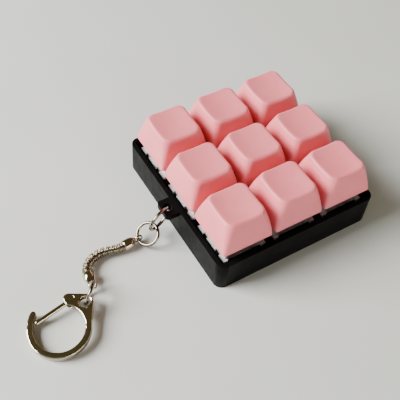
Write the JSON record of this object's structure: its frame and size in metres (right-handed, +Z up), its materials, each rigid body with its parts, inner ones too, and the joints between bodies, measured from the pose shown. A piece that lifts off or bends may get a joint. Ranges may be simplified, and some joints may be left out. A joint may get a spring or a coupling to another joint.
{
  "type": "keyboard switch fidget keychain",
  "caption": "Square desk fidget with sprung keyboard keys in a shallow case, on a short snake chain with jump rings and a snap hook.",
  "frame": {"origin": "centre of the case underside, on the table plane", "axes": "+Z up, away from the table; +X and +Y along the case edges; the keyring tab and the chain are on the -X side"},
  "size_m": [0.1177, 0.06, 0.0251],
  "materials": {
    "case_plastic": "satin",
    "keycap_plastic": "matte",
    "stem_plastic": "satin",
    "switch_plastic": "satin",
    "contact_brass": "polished",
    "spring_steel": "satin",
    "plated_metal": "polished"
  },
  "bodies": {
    "case": {"case_frame": "case_plastic", "bottom_cover": "case_plastic", "cover_screws": "spring_steel", "switch_bases": "switch_plastic", "switch_contacts": "contact_brass", "switch_top_a1": "switch_plastic", "switch_top_a2": "switch_plastic", "switch_top_a3": "switch_plastic", "switch_top_b1": "switch_plastic", "switch_top_b2": "switch_plastic", "switch_top_b3": "switch_plastic", "switch_top_c1": "switch_plastic", "switch_top_c2": "switch_plastic", "switch_top_c3": "switch_plastic", "spring_a1": "spring_steel", "spring_a2": "spring_steel", "spring_a3": "spring_steel", "spring_b1": "spring_steel", "spring_b2": "spring_steel", "spring_b3": "spring_steel", "spring_c1": "spring_steel", "spring_c2": "spring_steel", "spring_c3": "spring_steel"},
    "key_a1": {"keycap_a1": "keycap_plastic", "stem_a1": "stem_plastic"},
    "key_a2": {"keycap_a2": "keycap_plastic", "stem_a2": "stem_plastic"},
    "key_a3": {"keycap_a3": "keycap_plastic", "stem_a3": "stem_plastic"},
    "key_b1": {"keycap_b1": "keycap_plastic", "stem_b1": "stem_plastic"},
    "key_b2": {"keycap_b2": "keycap_plastic", "stem_b2": "stem_plastic"},
    "key_b3": {"keycap_b3": "keycap_plastic", "stem_b3": "stem_plastic"},
    "key_c1": {"keycap_c1": "keycap_plastic", "stem_c1": "stem_plastic"},
    "key_c2": {"keycap_c2": "keycap_plastic", "stem_c2": "stem_plastic"},
    "key_c3": {"keycap_c3": "keycap_plastic", "stem_c3": "stem_plastic"},
    "lug_ring": {"lug_ring": "plated_metal"},
    "link_ring": {"link_ring": "plated_metal"},
    "cap_a": {"chain_cap_a": "plated_metal"},
    "link_1": {"chain_link_1": "plated_metal"},
    "link_2": {"chain_link_2": "plated_metal"},
    "link_3": {"chain_link_3": "plated_metal"},
    "link_4": {"chain_link_4": "plated_metal"},
    "link_5": {"chain_link_5": "plated_metal"},
    "link_6": {"chain_link_6": "plated_metal"},
    "link_7": {"chain_link_7": "plated_metal"},
    "link_8": {"chain_link_8": "plated_metal"},
    "link_9": {"chain_link_9": "plated_metal"},
    "cap_b": {"chain_cap_b": "plated_metal"},
    "clasp_ring": {"clasp_ring": "plated_metal"},
    "clasp": {"clasp_body": "plated_metal", "gate_pin": "plated_metal", "gate_spring": "spring_steel"},
    "gate": {"clasp_gate": "plated_metal"}
  },
  "joints": [
    {"name": "press_a1", "type": "slide", "parent": "case", "child": "key_a1", "axis": [0, 0, -1], "range_m": [0, 0.004], "stiffness_N_per_m": 120, "springref_m": -0.003, "deforming": ["spring_a1"]},
    {"name": "press_a2", "type": "slide", "parent": "case", "child": "key_a2", "axis": [0, 0, -1], "range_m": [0, 0.004], "stiffness_N_per_m": 120, "springref_m": -0.003, "deforming": ["spring_a2"]},
    {"name": "press_a3", "type": "slide", "parent": "case", "child": "key_a3", "axis": [0, 0, -1], "range_m": [0, 0.004], "stiffness_N_per_m": 120, "springref_m": -0.003, "deforming": ["spring_a3"]},
    {"name": "press_b1", "type": "slide", "parent": "case", "child": "key_b1", "axis": [0, 0, -1], "range_m": [0, 0.004], "stiffness_N_per_m": 120, "springref_m": -0.003, "deforming": ["spring_b1"]},
    {"name": "press_b2", "type": "slide", "parent": "case", "child": "key_b2", "axis": [0, 0, -1], "range_m": [0, 0.004], "stiffness_N_per_m": 120, "springref_m": -0.003, "deforming": ["spring_b2"]},
    {"name": "press_b3", "type": "slide", "parent": "case", "child": "key_b3", "axis": [0, 0, -1], "range_m": [0, 0.004], "stiffness_N_per_m": 120, "springref_m": -0.003, "deforming": ["spring_b3"]},
    {"name": "press_c1", "type": "slide", "parent": "case", "child": "key_c1", "axis": [0, 0, -1], "range_m": [0, 0.004], "stiffness_N_per_m": 120, "springref_m": -0.003, "deforming": ["spring_c1"]},
    {"name": "press_c2", "type": "slide", "parent": "case", "child": "key_c2", "axis": [0, 0, -1], "range_m": [0, 0.004], "stiffness_N_per_m": 120, "springref_m": -0.003, "deforming": ["spring_c2"]},
    {"name": "press_c3", "type": "slide", "parent": "case", "child": "key_c3", "axis": [0, 0, -1], "range_m": [0, 0.004], "stiffness_N_per_m": 120, "springref_m": -0.003, "deforming": ["spring_c3"]},
    {"name": "lug_ring_swing", "type": "hinge", "parent": "case", "child": "lug_ring", "pos_m": [-0.0323, -0.0015, 0.0105], "axis": [0, 0, 1], "range_deg": [-12, 12]},
    {"name": "link_ring_swing", "type": "hinge", "parent": "lug_ring", "child": "link_ring", "pos_m": [-0.03854, -0.00289, 0.00522], "axis": [0.6733, 0.3575, -0.6471], "range_deg": [-8, 8]},
    {"name": "cap_a_swing", "type": "hinge", "parent": "link_ring", "child": "cap_a", "pos_m": [-0.04321, -0.00177, 0.00175], "axis": [-0.1052, -0.9461, -0.3063], "range_deg": [-8, 8]},
    {"name": "bend_1", "type": "hinge", "parent": "cap_a", "child": "link_1", "pos_m": [-0.04858, -0.00227, 0.00185], "axis": [0, 0, 1], "range_deg": [-9, 22]},
    {"name": "bend_2", "type": "hinge", "parent": "link_1", "child": "link_2", "pos_m": [-0.05042, -0.00221, 0.00185], "axis": [0.1219, 0.9925, 0], "range_deg": [-10, 10]},
    {"name": "bend_3", "type": "hinge", "parent": "link_2", "child": "link_3", "pos_m": [-0.05222, -0.00182, 0.00185], "axis": [0, 0, 1], "range_deg": [-13, 19]},
    {"name": "bend_4", "type": "hinge", "parent": "link_3", "child": "link_4", "pos_m": [-0.054, -0.00135, 0.00185], "axis": [0.1994, 0.9799, 0], "range_deg": [-10, 10]},
    {"name": "bend_5", "type": "hinge", "parent": "link_4", "child": "link_5", "pos_m": [-0.05582, -0.00109, 0.00185], "axis": [0, 0, 1], "range_deg": [-22, 5]},
    {"name": "bend_6", "type": "hinge", "parent": "link_5", "child": "link_6", "pos_m": [-0.05765, -0.00119, 0.00185], "axis": [-0.1736, 0.9848, 0], "range_deg": [-10, 10]},
    {"name": "bend_7", "type": "hinge", "parent": "link_6", "child": "link_7", "pos_m": [-0.05941, -0.00173, 0.00185], "axis": [0, 0, 1], "range_deg": [-22, 1]},
    {"name": "bend_8", "type": "hinge", "parent": "link_7", "child": "link_8", "pos_m": [-0.06097, -0.0027, 0.00188], "axis": [-0.6428, 0.766, 0], "range_deg": [-10, 10]},
    {"name": "bend_9", "type": "hinge", "parent": "link_8", "child": "link_9", "pos_m": [-0.0622, -0.00407, 0.00198], "axis": [0, 0, 1], "range_deg": [-22, 0]},
    {"name": "bend_10", "type": "hinge", "parent": "link_9", "child": "cap_b", "pos_m": [-0.06298, -0.00573, 0.00214], "axis": [-0.9588, 0.284, 0], "range_deg": [-10, 10]},
    {"name": "clasp_ring_swing", "type": "hinge", "parent": "cap_b", "child": "clasp_ring", "pos_m": [-0.06373, -0.01105, 0.0027], "axis": [0.5515, 0.011, 0.8341], "range_deg": [-8, 8]},
    {"name": "clasp_swing", "type": "hinge", "parent": "clasp_ring", "child": "clasp", "pos_m": [-0.06832, -0.01617, 0.00276], "axis": [-0.0859, -0.4392, 0.8943], "range_deg": [-8, 8]},
    {"name": "gate_open", "type": "hinge", "parent": "clasp", "child": "gate", "pos_m": [-0.07103, -0.0127, 0.00283], "axis": [-0.0808, -0.0326, 0.9962], "range_deg": [0, 28], "stiffness_Nm_per_rad": 0.002, "springref_deg": -20.05}
  ]
}
